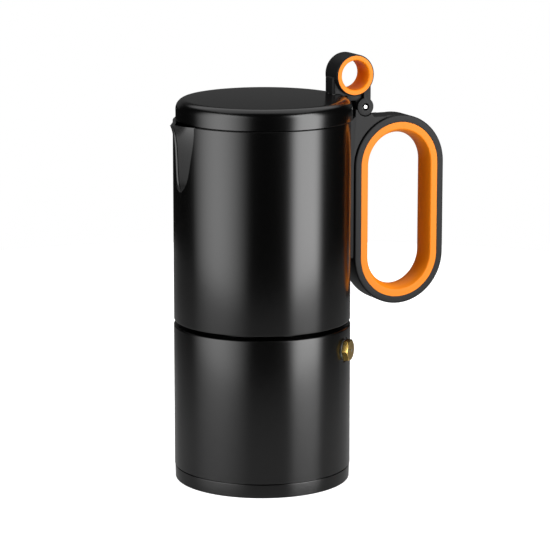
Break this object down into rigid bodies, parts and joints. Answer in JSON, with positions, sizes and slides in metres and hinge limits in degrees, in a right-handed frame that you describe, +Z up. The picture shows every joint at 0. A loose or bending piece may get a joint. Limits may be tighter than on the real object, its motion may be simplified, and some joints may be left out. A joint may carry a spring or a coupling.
{
  "type": "moka pot",
  "caption": "Round stovetop espresso pot with a loop handle, a V-shaped pouring spout and a hinged lid lifted by a ring.",
  "frame": {"origin": "centre of the underside, on the pot's axis", "axes": "+Z up along the pot's axis, +X towards the handle and the lid's hinge, the spout at -X"},
  "size_m": [0.151, 0.09, 0.2158],
  "materials": {
    "body_paint": "satin black coating",
    "base_paint": "matt black coating",
    "core_aluminium": "plain rolled",
    "bare_aluminium": "fine blasted",
    "steel": "brushed",
    "brass": "turned",
    "seal_rubber": "matt white silicone",
    "black_plastic": "fine matt",
    "orange_plastic": "soft satin"
  },
  "bodies": {
    "boiler": {"base_shell": "base_paint", "base_core": "core_aluminium", "boiler_body": "base_paint", "valve_body": "brass", "valve_washer": "seal_rubber", "valve_cap": "brass", "valve_spring": "steel"},
    "plunger": {"valve_plunger": "steel"},
    "funnel": {"funnel_body": "bare_aluminium", "funnel_strainer": "steel"},
    "seal": {"gasket": "seal_rubber"},
    "filter": {"filter_plate": "steel"},
    "chamber": {"collector_body": "body_paint", "coffee_column": "bare_aluminium", "column_cap": "bare_aluminium", "handle_frame": "black_plastic", "handle_insert": "orange_plastic", "handle_screws": "steel", "hinge_pin": "steel"},
    "lid": {"lid_cap": "body_paint", "lid_arm": "black_plastic", "knob_insert": "orange_plastic", "lid_screws": "steel"}
  },
  "joints": [
    {"name": "valve_lift", "type": "slide", "parent": "boiler", "child": "plunger", "axis": [0.682, -0.7314, 0], "range_m": [0, 0.0012], "stiffness_N_per_m": 400, "springref_m": -0.0015, "deforming": ["valve_spring"]},
    {"name": "funnel_lift", "type": "slide", "parent": "boiler", "child": "funnel", "axis": [0, 0, 1], "range_m": [0, 0.08]},
    {"name": "lift_off", "type": "slide", "parent": "boiler", "child": "seal", "axis": [0, 0, 1], "range_m": [0, 0.16]},
    {"name": "thread_rise", "type": "slide", "parent": "seal", "child": "filter", "axis": [0, 0, 1], "range_m": [0, 0.00525]},
    {"name": "collector_turn", "type": "hinge", "parent": "filter", "child": "chamber", "pos_m": [0, 0, 0.0955], "axis": [0, 0, 1], "range_deg": [0, 540]},
    {"name": "lid_hinge", "type": "hinge", "parent": "chamber", "child": "lid", "pos_m": [0.0552, 0, 0.1888], "axis": [0, 1, 0], "range_deg": [0, 89]}
  ],
  "couplings": [
    {"joint": "funnel_lift", "follows": "lift_off", "ratio": 0.5},
    {"joint": "thread_rise", "follows": "collector_turn", "m_per_rad": 0.00055704}
  ]
}
